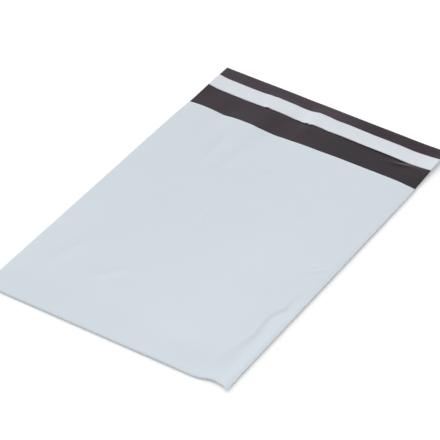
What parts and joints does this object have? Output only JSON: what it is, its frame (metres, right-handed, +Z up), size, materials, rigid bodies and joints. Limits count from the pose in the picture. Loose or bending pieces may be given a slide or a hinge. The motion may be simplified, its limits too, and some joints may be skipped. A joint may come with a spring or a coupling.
{
  "type": "poly mailer bag",
  "caption": "Flat, empty poly mailer of pale film with a dark inside, folded at the bottom, welded at both sides, with a closing lip that carries adhesive under a release liner.",
  "frame": {"origin": "middle of the footprint, on the surface that the bag lies on", "axes": "+Z up through the flat bag from its back panel to its front panel, +Y from the bottom fold to the edge of the closing lip, +X across the bag"},
  "size_m": [0.19, 0.32, 0.0015],
  "materials": {
    "film": "satin co-extruded polyethylene film, pale cold grey outside and dark warm grey inside",
    "adhesive": "tacky, slightly glossy pressure-sensitive adhesive",
    "liner": "smooth satin release film"
  },
  "bodies": {
    "root": {"bag_film": "film", "adhesive_strip": "adhesive", "release_liner": "liner"}
  },
  "joints": []
}
